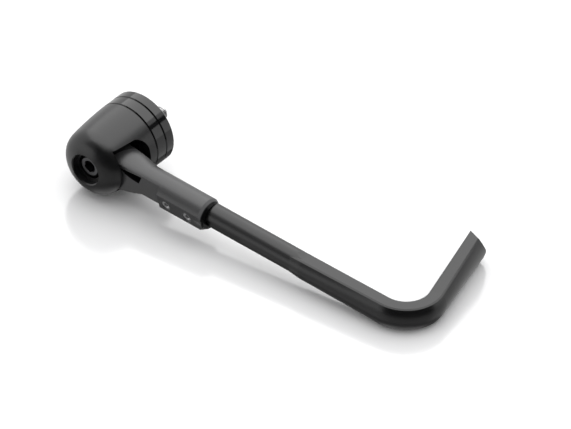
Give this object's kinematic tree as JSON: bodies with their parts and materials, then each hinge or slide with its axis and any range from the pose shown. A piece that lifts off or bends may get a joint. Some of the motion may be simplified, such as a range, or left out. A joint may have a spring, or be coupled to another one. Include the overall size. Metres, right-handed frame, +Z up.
{
  "type": "brake lever guard",
  "caption": "Bar-end brake lever guard: a turned body bolts to the end of a handlebar, and its arm holds a bent rod, adjustable in length, that shields the lever.",
  "frame": {"origin": "centre of the end ring's outer face, where the guard meets the end of the handlebar", "axes": "+X runs forward along the arm and the rod, +Y runs along the handlebar towards the grip, +Z is up"},
  "size_m": [0.1794, 0.0739, 0.032],
  "materials": {
    "anodised_body": "black anodised, satin, finely blasted",
    "anodised_rings": "black anodised over a turned surface",
    "steel": "plain steel, machined"
  },
  "bodies": {
    "clamp_body": {"end_cap": "anodised_body", "spacer_ring": "anodised_rings", "end_ring": "anodised_rings", "clamp_bolt": "steel", "arm": "anodised_body", "set_screws": "steel"},
    "rod": {"guard_rod": "anodised_body"}
  },
  "joints": [
    {"name": "rod_slide", "type": "slide", "parent": "clamp_body", "child": "rod", "axis": [1, 0, 0], "range_m": [0, 0.01]}
  ]
}
